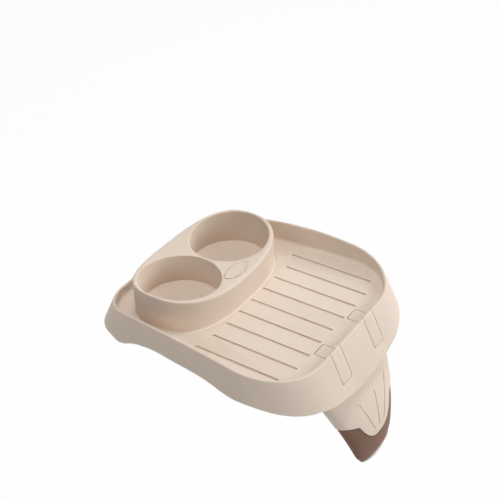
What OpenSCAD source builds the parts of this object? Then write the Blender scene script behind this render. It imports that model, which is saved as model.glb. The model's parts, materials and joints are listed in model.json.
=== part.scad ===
// Spa side tray: a moulded tray with two drink wells and a leg that hugs the side of the spa wall.
// Millimetres. The origin is the middle of the flat underside that sits on top of the wall.
// +X runs along the wall, -Y points to the edge with the leg, +Z is up.

/* [Tray outline] */
// depth of the rim, from the leg edge to the well edge
rim_depth = 200.4; // [180:0.2:220]
// radius of the two corners beside the leg
front_corner_r = 50.5; // [40:0.5:60]
// radius of the two corners behind the wells
back_corner_r = 39.4; // [30:0.2:48]
// distance from the middle plane to each corner centre
corner_x = 48.5; // [40:0.5:58]
// radius of the slightly bowed long sides
side_r = 660; // [400:10:1500]
// distance from the leg edge of the rim to the middle of the wall seat
seat_y = 100.5; // [90:0.5:110]

/* [Rim and skirt] */
// height of the rim above the tray floor at its highest place
rim_h = 19.4; // [14:0.2:26]
// distance from the leg edge to the highest place of the rim
rim_peak_y = 105.5; // [95:0.5:115]
// radius of the arched rim line, seen from the side
rim_arch_r = 403; // [300:1:600]
// thickness of the rim, the wall and the skirt
wall_t = 2.2; // [1.8:0.1:3]
// thickness of the tray floor
floor_t = 2.4; // [2:0.1:3]
// inward lean of the inner wall, per mm of height
wall_draft = 0.1; // [0:0.01:0.2]
// size of the rounding where wall and floor meet
floor_fillet = 3; // [1:0.5:5]
// outward flare of the skirt at the leg edge, per mm of height
front_flare = 0.45; // [0.2:0.01:0.55]
// outward flare of the skirt at the back, per mm of height
back_flare = 0.49; // [0.2:0.01:0.6]
// outward flare of the skirt along the sides, per mm of height
side_flare = 0.28; // [0.1:0.01:0.4]
// height of the arched skirt edge above the tray floor, at its highest place
arch_top = 0.6; // [-2:0.1:2]
// radius of the arched skirt edge that clears the spa wall
arch_r = 280; // [220:1:340]
// distance from the leg edge to the highest place of the skirt edge
arch_y = 104.6; // [90:0.1:110]
// extra drop of the skirt edge in front of the leg
front_sag = 7.2; // [0:0.1:9]
// half width of that extra drop
sag_half_w = 62; // [40:1:80]
// rise of the skirt edge along the back
back_rise = 5.4; // [0:0.1:8]

/* [Floor grooves] */
// number of grooves in the floor
groove_n = 9; // [3:2:11]
// spacing of the grooves
groove_pitch = 18.9; // [14:0.1:22]
// length of a groove
groove_len = 81.6; // [50:0.2:90]
// width of a groove
groove_w = 2.6; // [1:0.1:3]
// depth of a groove
groove_d = 1.6; // [0.3:0.1:1.6]
// distance from the leg edge to the middle of the grooves
groove_y = 58.5; // [54:0.5:62]
// shift of the two outermost grooves towards the wells
groove_shift = 4.7; // [0:0.1:8]

/* [Wells] */
// radius of a drink well
well_r = 35.8; // [33:0.1:36]
// distance from the middle plane to each well's centre
well_x = 36.7; // [36.5:0.1:38]
// distance from the leg edge to the well centres
well_y = 146.4; // [144:0.1:148]
// half width of the raised collar round both wells
collar_a = 74.2; // [74:0.1:78]
// half depth of the collar
collar_b = 45.2; // [43:0.1:46]
// squareness of the collar outline, 2 is an ellipse
collar_n = 2.57; // [2.3:0.01:3]
// height of the collar above the floor in the middle
collar_h = 26.1; // [20:0.1:32]
// radius of the dished collar top, seen from the leg edge
collar_top_r = 411; // [300:1:800]
// thickness of the collar skin over the hollow land
collar_t = 2.2; // [1.8:0.1:2.8]
// softness of the collar's top edge in front of and behind the wells
crown_r = 3; // [1:0.1:3.6]
// softness of the top edge at the collar's thin ends
crown_end_r = 0.6; // [0.3:0.1:0.9]
// rounding where the collar meets the floor
collar_fillet = 1.2; // [0.4:0.1:1.6]
// half width of the hollow below the land
land_half_w = 30; // [20:1:34]
// half width of the plain oval ring on the land
oval_a = 15; // [10:0.5:18]
// half depth of the oval ring
oval_b = 4.6; // [3:0.1:5]
// distance from the leg edge to the middle of the oval ring
oval_y = 113.2; // [112:0.1:114]
// width of the raised line of the oval ring
oval_line = 0.8; // [0.5:0.1:1.2]
// height of the oval ring
oval_h = 0.5; // [0.3:0.1:0.8]

/* [Frame arms] */
// distance from the middle plane to the middle of each arm
arm_x = 26.8; // [22:0.1:32]
// width of an arm
arm_w = 14.4; // [10:0.1:18]
// distance from the leg edge to the end of an arm on the tray floor
arm_floor_y = 16; // [12:0.1:18]
// depth below the floor to which an arm reaches down the skirt
arm_drop = 21; // [14:0.5:26]
// thickness of an arm where it lies in the skirt
arm_t = 2.4; // [2:0.1:3]
// radius of the corners at both ends of an arm
arm_round = 2; // [1:0.1:4]
// clearance around an arm, and between the leg's shells
fit_gap = 0.15; // [0.1:0.01:0.25]

/* [Leg] */
// half width of the leg where it leaves the skirt
leg_half_w = 54.5; // [46:0.5:56]
// half width of the leg at its foot
foot_half_w = 26.5; // [20:0.5:34]
// distance of the leg's front from the leg edge, where it leaves the skirt
leg_out = 10.9; // [8:0.1:11]
// forward reach of the bulge in the leg's front
leg_bulge = 18.1; // [12:0.1:22]
// depth of the leg from front to back at the top
leg_depth = 26; // [20:0.5:30]
// depth of the leg at its foot
foot_depth = 7.5; // [6.5:0.5:10]
// depth below the floor where the leg leaves the skirt
leg_exit = 30; // [26:1:34]
// depth below the floor of the leg's lowest point
leg_low = 118; // [110:0.5:125]
// rounding of the foot, seen from the front
foot_round = 20; // [10:0.5:22]
// squareness of the leg's cross-section, 2 is an ellipse
leg_n = 2.3; // [2:0.05:3]
// thickness of the leg's shells
leg_t = 2.4; // [2:0.1:3]
// height of the rear shell's foot that shows below the grip's straight lower edge
foot_lip = 7; // [3:0.1:8]
// how far the grip lies below the cover's surface
grip_step = 0.8; // [0.4:0.1:1.2]
// depth of the rear shell's edge behind which it shows
rear_depth = 4; // [3:0.1:5]
// half width of the frame's top plate
plate_half_w = 46; // [42:1:50]
// thickness of the frame's top plate
plate_t = 2.8; // [2:0.1:4]
// depth of the seat for that plate in the tray's underside
plate_seat = 0.4; // [0.2:0.1:0.8]

/* [Leg screws] */
// distance from the middle plane to the two upper screws
upper_screw_x = 22; // [16:0.5:28]
// depth below the floor of the upper screws
upper_screw_z = 45; // [42:0.5:50]
// distance from the middle plane to the two lower screws
lower_screw_x = 14; // [11:0.5:15]
// depth below the floor of the lower screws
lower_screw_z = 96; // [95:0.5:97]
// radius of a screw's shank
screw_r = 1.4; // [1.2:0.05:1.6]
// length of a screw under its head
screw_len = 5.6; // [5:0.1:6]
// radius of a screw's head
head_r = 2.7; // [2.4:0.05:3]
// height of a screw's head
head_h = 1.8; // [1.4:0.1:2.2]
// depth of the head's seat below the back of the leg
screw_seat = 4.4; // [4:0.1:4.8]
// wall round a screw and its head
boss_t = 1.8; // [1.5:0.1:2.2]

/* [Leg cover] */
// depth below the floor of the cover's middle lobe
lobe_low = 92.8; // [86:0.1:98]
// half width of the lobe at its shoulders
lobe_half_w = 27; // [20:0.5:32]
// depth below the floor of the cover's shoulders
shoulder_low = 67.5; // [62:0.5:72]
// rise of the cover's edge from its shoulders to its sides, per mm
shoulder_rise = 0.42; // [0.2:0.01:0.6]
// distance from the middle plane to the top of each slanted flute
flute_top_x = 23; // [16:0.5:26]
// distance from the middle plane to the foot of each slanted flute
flute_foot_x = 7.5; // [5:0.5:10]
// depth below the floor of the flutes' tops
flute_top = 48; // [44:0.5:54]
// depth below the floor of the flutes' feet
flute_foot = 82; // [76:0.5:86]
// width of a flute at its top
flute_w = 4.6; // [3:0.1:6]
// depth of a flute
flute_d = 1; // [0.5:0.1:1.4]

/* [Hidden] */
$fn = 72;

beige = [0.84, 0.78, 0.72];
brown = [0.5, 0.39, 0.34];

// inner frame of the drawing: y from the leg edge of the rim, z from the top of the floor
module place() { translate([0, -seat_y, floor_t]) children(); }

// outline of the rim: stations [x, y, nx, ny] anticlockwise from the middle of the leg edge
front_cy = front_corner_r;
back_cy = rim_depth - back_corner_r;
run_y = back_cy - front_cy;
ra = side_r - front_corner_r;
rb = side_r - back_corner_r;
side_up = (ra * ra - rb * rb + run_y * run_y) / (2 * run_y);
side_cx = corner_x - sqrt(ra * ra - side_up * side_up);
side_cy = front_cy + side_up;
side_a0 = atan2(front_cy - side_cy, corner_x - side_cx);
side_a1 = atan2(back_cy - side_cy, corner_x - side_cx);

function arc_st(cx, cy, r, a0, a1, n) =
    [for (i = [1:n]) let (a = a0 + (a1 - a0) * i / n) [cx + r * cos(a), cy + r * sin(a), cos(a), sin(a)]];

half_st = concat(
    [for (i = [0:4]) [corner_x * i / 4, 0, 0, -1]],
    arc_st(corner_x, front_cy, front_corner_r, -90, side_a0, 14),
    arc_st(side_cx, side_cy, side_r, side_a0, side_a1, 10),
    arc_st(corner_x, back_cy, back_corner_r, side_a1, 90, 12),
    [for (i = [1:3]) [corner_x * (1 - i / 3), rim_depth, 0, 1]]);
half_n = len(half_st);
stations = concat(half_st, [for (i = [half_n - 2:-1:1])
    [-half_st[i][0], half_st[i][1], -half_st[i][2], half_st[i][3]]]);
st_n = len(stations);

function sag_of(r, d) = r - sqrt(r * r - d * d);
function rim_z(y) = rim_h - sag_of(rim_arch_r, y - rim_peak_y);
function flare_at(ny) = side_flare + ((ny < 0 ? front_flare : back_flare) - side_flare) * abs(ny);
// height of the skirt's edge at a station: the wall arch, lower in front of the leg and higher at the back
function skirt_z(s, k) = let (
    y = s[1] + s[3] * k,
    front = s[3] < 0 ? s[3] * s[3] * max(0, 1 - pow(s[0] / sag_half_w, 2)) : 0,
    back = s[3] > 0 ? s[3] * s[3] : 0)
    arch_top - sag_of(arch_r, y - arch_y) - front_sag * front + back_rise * back;

// section of the tray's edge at a station, from the floor over the rim and the skirt to the underside:
// [distance outwards from the rim line, height]
function edge_section(s) = let (
    zr = rim_z(s[1]), fl = flare_at(s[3]),
    z0 = skirt_z(s, fl * 28), zb = skirt_z(s, fl * (zr - z0)),
    c = wall_t * 0.3,
    w0 = -wall_t - wall_draft * zr,
    apex = wall_t / (fl + wall_draft))
    [[w0 - floor_fillet, 0],
     [w0 - floor_fillet * 0.3, floor_fillet * 0.3],
     [w0 + wall_draft * floor_fillet, floor_fillet],
     [-wall_t, zr - c],
     [-wall_t + c, zr],
     [-c, zr],
     [fl * c, zr - c],
     [fl * (zr - zb), zb],
     [fl * (zr - zb) - wall_t, zb],
     [-wall_draft * apex, zr - apex],
     [-wall_draft * (zr + floor_t), -floor_t]];

module tray_shell() {
    sec = [for (s = stations) edge_section(s)];
    m = len(sec[0]);
    pts = [for (j = [0:m - 1], i = [0:st_n - 1]) let (s = stations[i], q = sec[i][j])
        [s[0] + s[2] * q[0], s[1] + s[3] * q[0], q[1]]];
    polyhedron(points = pts, faces = concat(
        [[for (i = [st_n - 1:-1:0]) i]],
        [[for (i = [0:st_n - 1]) (m - 1) * st_n + i]],
        [for (j = [0:m - 2], i = [0:st_n - 1]) let (k = (i + 1) % st_n, a = j * st_n)
            [a + i, a + k, a + st_n + k]],
        [for (j = [0:m - 2], i = [0:st_n - 1]) let (k = (i + 1) % st_n, a = j * st_n)
            [a + i, a + st_n + k, a + st_n + i]]), convexity = 6);
}

// rounded plan shapes
function sgn(v) = v < 0 ? -1 : 1;
function super_pt(a, b, n, t) =
    [a * sgn(cos(t)) * pow(abs(cos(t)), 2 / n), b * sgn(sin(t)) * pow(abs(sin(t)), 2 / n)];
function super_ring(a, b, n, k) = [for (i = [0:k - 1]) super_pt(a, b, n, 360 * i / k)];

module capsule(l, w, h) {
    linear_extrude(height = h) union() {
        square([w, l - w], center = true);
        for (s = [-1, 1]) translate([0, s * (l - w) / 2]) circle(d = w, $fn = 24);
    }
}

module grooves() {
    half = (groove_n - 1) / 2;
    for (k = [-half:half])
        translate([k * groove_pitch, groove_y + (abs(k) == half ? groove_shift : 0), -groove_d])
            capsule(groove_len, groove_w, groove_d + 1);
}

// room below the dished top of the collar, lowered by d
module below_top(d) {
    difference() {
        translate([-100, 0, -20]) cube([200, rim_depth + 20, collar_h + 40 - d]);
        translate([0, -1, collar_h + collar_top_r - d]) rotate([-90, 0, 0])
            cylinder(r = collar_top_r, h = rim_depth + 40, $fn = 360);
    }
}

// rings of the collar: below the floor, up the small fillet at its foot, then over the soft top edge
function foot_ring(t, k) = let (out = collar_fillet * (1 - cos(t)))
    [for (p = super_ring(collar_a + out, collar_b + out, collar_n, k))
        [p[0], p[1], collar_fillet * (1 - sin(t))]];
function crown_ring(t, k) = let (b = collar_b - crown_r * (1 - cos(t)))
    [for (p = super_ring(collar_a - crown_end_r * (1 - cos(t)), b, collar_n, k))
        let (soft = crown_end_r + (crown_r - crown_end_r) * abs(p[1]) / b)
        [p[0], p[1], collar_h + sag_of(collar_top_r, p[0]) - soft * (1 - sin(t))]];

module collar_body(k = 96) {
    foot = [for (t = [90, 60, 30, 0]) foot_ring(t, k)];
    crown = [for (t = [0, 22.5, 45, 67.5, 90]) crown_ring(t, k)];
    rings = concat([[for (p = foot[0]) [p[0], p[1], -floor_t / 2]]], foot, crown);
    m = len(rings);
    h = k / 2;
    translate([0, well_y, 0]) polyhedron(points = [for (r = rings, p = r) p], faces = concat(
        [[for (i = [0:k - 1]) i]],
        [for (j = [0:m - 2], i = [0:k - 1]) let (n = (i + 1) % k, a = j * k) [a + i, a + k + n, a + n]],
        [for (j = [0:m - 2], i = [0:k - 1]) let (n = (i + 1) % k, a = j * k) [a + i, a + k + i, a + k + n]],
        [for (i = [0:h - 2]) let (a = (m - 1) * k) [a + (k - i) % k, a + k - i - 1, a + i + 1]],
        [for (i = [1:h - 1]) let (a = (m - 1) * k) [a + k - i, a + i + 1, a + i]]), convexity = 4);
}

// hollow under the land, open below, in front of and behind the wells
module land_hollow() {
    intersection() {
        translate([0, well_y, -floor_t - 1]) linear_extrude(height = collar_h + 30) difference() {
            intersection() {
                polygon(super_ring(collar_a - collar_t, collar_b - collar_t, collar_n, 96));
                square([land_half_w * 2, collar_b * 2], center = true);
            }
            for (s = [-1, 1]) translate([s * well_x, 0]) circle(r = well_r + collar_t);
            square([land_half_w * 2, well_r], center = true);
        }
        below_top(collar_t);
    }
}

module wells() {
    for (s = [-1, 1]) translate([s * well_x, well_y, 0]) cylinder(r = well_r, h = collar_h + 40, $fn = 180);
}

module oval_ring() {
    intersection() {
        translate([0, oval_y, collar_h - 1]) linear_extrude(height = 10) difference() {
            polygon(super_ring(oval_a, oval_b, 2, 48));
            polygon(super_ring(oval_a - oval_line, oval_b - oval_line, 2, 48));
        }
        below_top(-oval_h);
    }
}

// arms of the frame, seen from the side: over the rim and down the skirt
front_z = rim_z(0);
front_w0 = wall_t + wall_draft * front_z;
arm_y0 = -front_flare * (front_z + arm_drop);
arm_in = arm_t / cos(atan(front_flare));
plate_top = -floor_t + plate_seat;

module arm_side(g) {
    c = wall_t * 0.3;
    polygon([
        [arm_floor_y + g, plate_top - plate_t / 2], [arm_floor_y + g, g ? 1 : 0],
        [front_w0 + floor_fillet, g ? 1 : 0],
        [front_w0 + floor_fillet * 0.3 + g, floor_fillet * 0.3 + g],
        [front_w0 - wall_draft * floor_fillet + g, floor_fillet],
        [wall_t + g, front_z - c], [wall_t - c + g, front_z + g], [c - g, front_z + g],
        [-front_flare * c - g, front_z - c], [arm_y0 - (g ? 1 : 0), -arm_drop - g],
        [arm_y0 + arm_in, -arm_drop - g],
        [leg_top_front - 2.2, plate_top - plate_t / 2]]);
}

// a long strip of half width w, with round corners at its end
module round_end(w, end, r) {
    hull() {
        translate([-w, -60]) square([2 * w, 1]);
        for (s = [-1, 1]) translate([s * (w - r), end - r]) circle(r = r, $fn = 24);
    }
}

module arms(g) {
    w = arm_w / 2 + g;
    r = arm_round + g;
    for (s = [-1, 1]) translate([s * arm_x, 0, 0]) intersection() {
        translate([-w, 0, 0]) rotate([90, 0, 90]) linear_extrude(height = 2 * w) arm_side(g);
        translate([0, 0, -60]) linear_extrude(height = 120) round_end(w, arm_floor_y + g, r);
        rotate([90, 0, 0]) translate([0, 0, -60]) linear_extrude(height = 120)
            mirror([0, 1]) round_end(w, arm_drop + g, r);
    }
}

// the moulding without its wells, as one free-form skin
module moulding() {
    resize([0, 0, 0]) difference() {
        union() { tray_shell(); collar_body(); oval_ring(); }
        land_hollow();
        grooves();
        arms(fit_gap);
        translate([-plate_half_w - fit_gap, plate_y0 - fit_gap, -floor_t - 1])
            cube([2 * (plate_half_w + fit_gap), plate_len + 2 * fit_gap, plate_seat + 1]);
    }
}

module tray() {
    color(beige) place() difference() {
        moulding();
        wells();
    }
}

// leg: a curved hollow body that narrows to a rounded foot
leg_top = -plate_top + plate_t;
grip_low = leg_low - foot_lip;
leg_span = grip_low - leg_exit;
function leg_s(z) = (-leg_exit - z) / leg_span;
function leg_front(z) = let (s = leg_s(z)) -leg_out - leg_bulge * 2.44 * s + leg_bulge * 1.48 * s * s;
function leg_wide(z) = let (s = max(0, leg_s(z))) leg_half_w + (foot_half_w - leg_half_w) * s;
function leg_deep(z) = let (s = max(0, leg_s(z)))
    max(foot_depth, leg_depth + (foot_depth - leg_depth) * pow(s, 2));
function foot_in(z) = let (d = min(1, max(0, (foot_round - leg_low - z) / foot_round)))
    foot_round * (1 - sqrt(max(0, 1 - d * d)));
leg_top_front = leg_front(-leg_top);
plate_y0 = leg_top_front + 1;
plate_len = leg_depth + 8;

levels = [0, 0.12, 0.24, 0.36, 0.48, 0.6, 0.7, 0.79, 0.86, 0.91, 0.95, 0.975, 0.99, 1];

// one level of the leg, its skin moved in by d
function leg_ring(z, d, k) = let (
    cut = foot_in(z), a = leg_wide(z) - cut - d,
    y0 = leg_front(z) + d + cut * 0.12, y1 = leg_front(z) + leg_deep(z) - d - cut * 0.12)
    [for (p = super_ring(a, (y1 - y0) / 2, leg_n, k)) [p[0], (y0 + y1) / 2 + p[1], z]];

module leg_loft(d, low, k = 40) {
    rings = [for (f = levels) leg_ring(-leg_top - (low - leg_top) * f + (d > 0 && f == 0 ? 1 : 0), d, k)];
    m = len(rings);
    polyhedron(points = [for (r = rings, p = r) p], faces = concat(
        [[for (i = [k - 1:-1:0]) i]],
        [[for (i = [0:k - 1]) (m - 1) * k + i]],
        [for (j = [0:m - 2], i = [0:k - 1]) let (n = (i + 1) % k, a = j * k) [a + i, a + n, a + k + n]],
        [for (j = [0:m - 2], i = [0:k - 1]) let (n = (i + 1) % k, a = j * k) [a + i, a + k + n, a + k + i]]),
        convexity = 4);
}

// everything in front of the seam between the front shells and the rear shell
seam_zs = [for (f = levels) -leg_top - (leg_low - leg_top) * f];
function seam_y(z) = leg_front(z) + leg_deep(z) - min(rear_depth, leg_deep(z) / 2);
module front_of_seam(g) {
    translate([-80, 0, 0]) rotate([90, 0, 90]) linear_extrude(height = 160)
        polygon(concat([[-60, -leg_top + 2]], [[seam_y(-leg_top) - g, -leg_top + 2]],
            [for (z = seam_zs) [seam_y(z) - g, z]],
            [[seam_y(-leg_low) - g, -leg_low - 2], [-60, -leg_low - 2]]));
}

// edge between cover and grip, seen from the front: a lobe in the middle and rising shoulders
function cover_edge(x) = min(
    -lobe_low + (lobe_low - shoulder_low - 2) * pow(abs(x) / lobe_half_w, 2),
    -shoulder_low + shoulder_rise * (abs(x) - lobe_half_w));
module above_edge(g) {
    rotate([90, 0, 0]) translate([0, 0, -60]) linear_extrude(height = 120)
        polygon(concat([[-70, -leg_top + 2]],
            [for (i = [-24:24]) let (x = i * 70 / 24) [x, cover_edge(x) + g]],
            [[70, -leg_top + 2]]));
}

module flutes() {
    for (s = [-1, 0, 1]) rotate([90, 0, 0]) translate([0, 0, -60]) linear_extrude(height = 120) polygon([
        [s * flute_top_x - flute_w / 2, -flute_top], [s * flute_top_x + flute_w / 2, -flute_top],
        [s * flute_foot_x + 0.4, -flute_foot], [s * flute_foot_x - 0.4, -flute_foot]]);
}

// the four screws point forwards from seats in the back of the leg
screw_spots = [[upper_screw_x, -upper_screw_z], [-upper_screw_x, -upper_screw_z],
    [lower_screw_x, -lower_screw_z], [-lower_screw_x, -lower_screw_z]];
seat_floor = 2.4;
function seat_at(z) = leg_front(z) + leg_deep(z) - screw_seat;

// a cylinder along the screw at spot p, from y0 to y1 measured from the head's seat
module along(p, r, y0, y1) {
    translate([p[0], seat_at(p[1]) + y0, p[1]]) rotate([-90, 0, 0]) cylinder(r = r, h = y1 - y0, $fn = 48);
}

// posts inside a front shell that the screws bite into
module posts(spots, d) {
    intersection() {
        leg_loft(d, leg_low);
        for (p = spots) along(p, screw_r + boss_t, -40, -seat_floor - fit_gap);
    }
}
module pilot_holes(spots) {
    for (p = spots) along(p, screw_r, -screw_len - 0.3, 0);
}

module leg_cover() {
    color(beige) place() intersection() {
        difference() {
            union() {
                difference() {
                    leg_loft(0, leg_low);
                    leg_loft(leg_t, grip_low - leg_t);
                }
                posts([screw_spots[0], screw_spots[1]], flute_d + 0.2);
            }
            difference() { flutes(); leg_loft(flute_d, grip_low); }
            pilot_holes([screw_spots[0], screw_spots[1]]);
        }
        front_of_seam(fit_gap);
        above_edge(fit_gap);
        translate([-80, -80, -leg_low]) cube([160, 160, leg_low - leg_top - fit_gap]);
    }
}

module leg_grip() {
    color(brown) place() intersection() {
        difference() {
            union() {
                difference() {
                    leg_loft(grip_step, leg_low);
                    leg_loft(leg_t + grip_step, grip_low - leg_t - grip_step);
                }
                posts([screw_spots[2], screw_spots[3]], grip_step + 0.2);
            }
            above_edge(0);
            pilot_holes([screw_spots[2], screw_spots[3]]);
        }
        front_of_seam(fit_gap);
        translate([-80, -80, -grip_low]) cube([160, 160, grip_low]);
    }
}

module leg_frame() {
    color(beige) place() difference() {
        union() {
            difference() {
                leg_loft(0, leg_low);
                leg_loft(leg_t, grip_low - leg_t);
                intersection() {
                    front_of_seam(0);
                    translate([-80, -80, -grip_low - fit_gap]) cube([160, 160, leg_low]);
                }
            }
            for (p = screw_spots) along(p, head_r + fit_gap + boss_t, -seat_floor, screw_seat - 2.4);
            translate([-plate_half_w, plate_y0, -leg_top]) cube([plate_half_w * 2, plate_len, plate_t]);
            arms(0);
        }
        for (p = screw_spots) {
            along(p, head_r + fit_gap, 0, 20);
            along(p, screw_r + fit_gap, -20, 1);
        }
    }
}

module leg_screws() {
    color([0.7, 0.7, 0.7]) place() for (p = screw_spots) difference() {
        union() {
            along(p, head_r, 0, head_h);
            along(p, screw_r, -screw_len, 0.5);
        }
        for (a = [0, 90]) translate([p[0], seat_at(p[1]) + head_h - 1, p[1]]) rotate([-90, a, 0])
            translate([-head_r * 0.6, -0.35, 0]) cube([head_r * 1.2, 0.7, 2]);
    }
}

tray();
leg_frame();
leg_cover();
leg_grip();
leg_screws();
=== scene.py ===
import json
from math import atan2, copysign, cos, exp, pi, radians, sin, sqrt
import bmesh
import bpy
from mathutils import Matrix, Vector

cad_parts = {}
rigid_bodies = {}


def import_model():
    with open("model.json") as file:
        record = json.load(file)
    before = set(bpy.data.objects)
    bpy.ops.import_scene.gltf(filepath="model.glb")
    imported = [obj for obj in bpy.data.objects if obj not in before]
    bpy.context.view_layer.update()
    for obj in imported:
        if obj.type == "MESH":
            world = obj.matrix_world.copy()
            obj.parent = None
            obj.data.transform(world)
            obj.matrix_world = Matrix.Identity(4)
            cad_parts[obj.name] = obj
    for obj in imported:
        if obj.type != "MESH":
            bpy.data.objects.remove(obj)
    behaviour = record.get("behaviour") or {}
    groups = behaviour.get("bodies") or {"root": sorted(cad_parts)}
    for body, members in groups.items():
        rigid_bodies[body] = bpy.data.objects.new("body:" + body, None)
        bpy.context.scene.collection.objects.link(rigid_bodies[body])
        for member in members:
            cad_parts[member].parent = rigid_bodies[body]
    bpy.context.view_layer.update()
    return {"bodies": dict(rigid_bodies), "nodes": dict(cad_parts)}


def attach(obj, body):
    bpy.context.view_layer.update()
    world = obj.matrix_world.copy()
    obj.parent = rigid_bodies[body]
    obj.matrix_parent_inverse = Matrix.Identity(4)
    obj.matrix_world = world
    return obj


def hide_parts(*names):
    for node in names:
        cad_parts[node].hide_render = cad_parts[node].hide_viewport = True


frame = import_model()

nodes = frame["nodes"]
frameRoot = frame["bodies"]["root"]
mm = 0.001
touch = 2e-5             # metres within which two places count as one
tiny = 1e-9              # radians, far less than any step between two rays
smoothAngle = 34         # degrees, sharper edges stay sharp
white = (1, 1, 1, 1)


# materials: sums on sockets, written as Python

class Sock:                                 # a node's output, which Python's operators work on
    def __init__(self, sheet, out):
        self.sheet, self.out = sheet, out

    def calc(self, operation, *terms):
        return self.sheet.node("Math", {"operation": operation}, dict(enumerate(terms)))

    def __abs__(self):
        return self.calc("ABSOLUTE", self)

    def __add__(self, other):
        return self.calc("ADD", self, other)

    def __radd__(self, other):
        return self.calc("ADD", other, self)

    def __sub__(self, other):
        return self.calc("SUBTRACT", self, other)

    def __rsub__(self, other):
        return self.calc("SUBTRACT", other, self)

    def __mul__(self, other):
        return self.calc("MULTIPLY", self, other)

    def __rmul__(self, other):
        return self.calc("MULTIPLY", other, self)

    def __truediv__(self, other):
        return self.calc("DIVIDE", self, other)

    def __rtruediv__(self, other):
        return self.calc("DIVIDE", other, self)

    def __pow__(self, other):
        return self.calc("POWER", self, other)

    def __rpow__(self, other):
        return self.calc("POWER", other, self)

    def ramp(self, low, high):              # 0 at low, 1 at high, smooth between
        return self.sheet.node("MapRange", {"interpolation_type": "SMOOTHSTEP"},
                               {"Value": self, "From Min": low, "From Max": high})

    def others(self, *wanted):              # other outputs of the node that this one belongs to
        return [Sock(self.sheet, self.out.node.outputs[name]) for name in wanted]


class Sheet:                                # the nodes of one material or world
    def __init__(self, owner):
        self.owner = owner
        owner.use_nodes = True
        self.tree = owner.node_tree
        self.tree.nodes.clear()

    def node(self, kind, settings=None, sockets=None, want=0):
        made = self.tree.nodes.new("ShaderNode" + kind)
        for key, value in (settings or {}).items():
            setattr(made, key, value)
        for key, value in (sockets or {}).items():
            if isinstance(value, Sock):
                self.tree.links.new(value.out, made.inputs[key])
            else:
                made.inputs[key].default_value = value
        return Sock(self, made.outputs[want]) if made.outputs else made

    def vector(self, operation, first, second):
        return self.node("VectorMath", {"operation": operation}, {0: first, 1: second})

    def scaled(self, where, factor):
        return self.node("VectorMath", {"operation": "SCALE"}, {0: where, "Scale": factor})

    def place(self):                        # object coordinates in millimetres
        return self.scaled(self.node("TexCoord", want="Object"), 1 / mm)

    def noise(self, where, detail=2.0, rough=0.5):
        return self.node("TexNoise", {}, {"Vector": where, "Scale": 1.0,
                                          "Detail": detail, "Roughness": rough})

    def blend(self, amount, first, second):  # colours mixed by amount
        return self.node("Mix", {"data_type": "RGBA"}, {"Factor": amount, 6: first, 7: second}, want=2)

    def seen(self):                         # 1 for what the camera, a reflection or clear plastic looks at
        first, *rest = self.node("LightPath").others("Is Camera Ray", "Is Glossy Ray", "Is Transmission Ray")
        for ray in rest:
            first = first.calc("MAXIMUM", first, ray)
        return first

    def finish(self, shader, output="OutputMaterial"):
        self.node(output, {}, {"Surface": shader})
        return self.owner


def srgb(red, green, blue):
    return tuple((c / 255 / 12.92) if c < 10.31 else ((c / 255 + 0.055) / 1.055) ** 2.4
                 for c in (red, green, blue)) + (1.0,)


mouldedPlastic = {                          # sizes in mm, ramps as (from, to)
    "beige": srgb(224, 208, 193), "beigeShade": srgb(220, 203, 187), "beigeEdge": srgb(235, 221, 209),
    "brown": srgb(130, 97, 81), "brownShade": srgb(121, 89, 74), "brownEdge": srgb(148, 116, 100),
    "roughness": 0.56, "brownRoughness": 0.54, "sheen": 0.3, "brownSheen": 0.2, "ior": 1.46,
    "cloudSize": 45.0, "cloudRamp": (0.3, 0.7), "cloudRough": 0.1,
    "grainSize": 0.55, "grainRamp": (0.62, 0.8), "grainShare": 0.25, "grainRough": 0.14,
    "mottleSize": 6.25, "mottleRamp": (0.6, 0.8), "mottleShare": 0.2, "mottleRough": 0.1,
    "wornRamp": (0.505, 0.56), "wornShare": 0.35, "wornRough": 0.06,
    "noiseDetail": 3, "noiseRough": 0.6, "mottleHeight": 0.6, "bump": 0.35, "bumpHeight": 0.035,
}
collarHighlight = {                              # a painted highlight along the collar's foot; outside: how far from the collar's wall, in mm
    "outside": 0.6, "half": 0.016, "core": 0.3, "low": 2.2, "lowFade": 0.3, "high": 4.2, "highFade": 0.4,
    "share": 0.6, "colour": srgb(246, 236, 226),
}
zincCoat = {
    "dull": srgb(176, 176, 172), "bright": srgb(198, 199, 198), "brush": (6.0, 0.4, 6.0), "brushDetail": 3,
    "blotch": 0.35, "blotchRamp": (0.35, 0.7), "roughness": 0.3, "brushRough": 0.2, "bump": 0.3,
    "bumpHeight": 0.02,
}


def paintedFootHighlight(s):                            # a painted highlight: a light line where the collar's wall turns into the floor, standing in for the shine there
    line, well = collarHighlight, wellForm
    x, y, z = s.node("SeparateXYZ", {}, {0: s.place()}).others("X", "Y", "Z")
    a, b, n = well["a"] + line["outside"], well["b"] + line["outside"], well["n"]
    across, along = abs(x) / a, abs(y - (well["y"] - trayForm["seatY"])) / b
    off = abs((across ** n + along ** n) ** (1 / n) - 1)
    below = z.ramp(line["high"] + line["highFade"], line["high"])
    above = z.ramp(line["low"] - line["lowFade"], line["low"])
    return off.ramp(line["half"], line["half"] * line["core"]) * below * above * line["share"]


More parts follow.
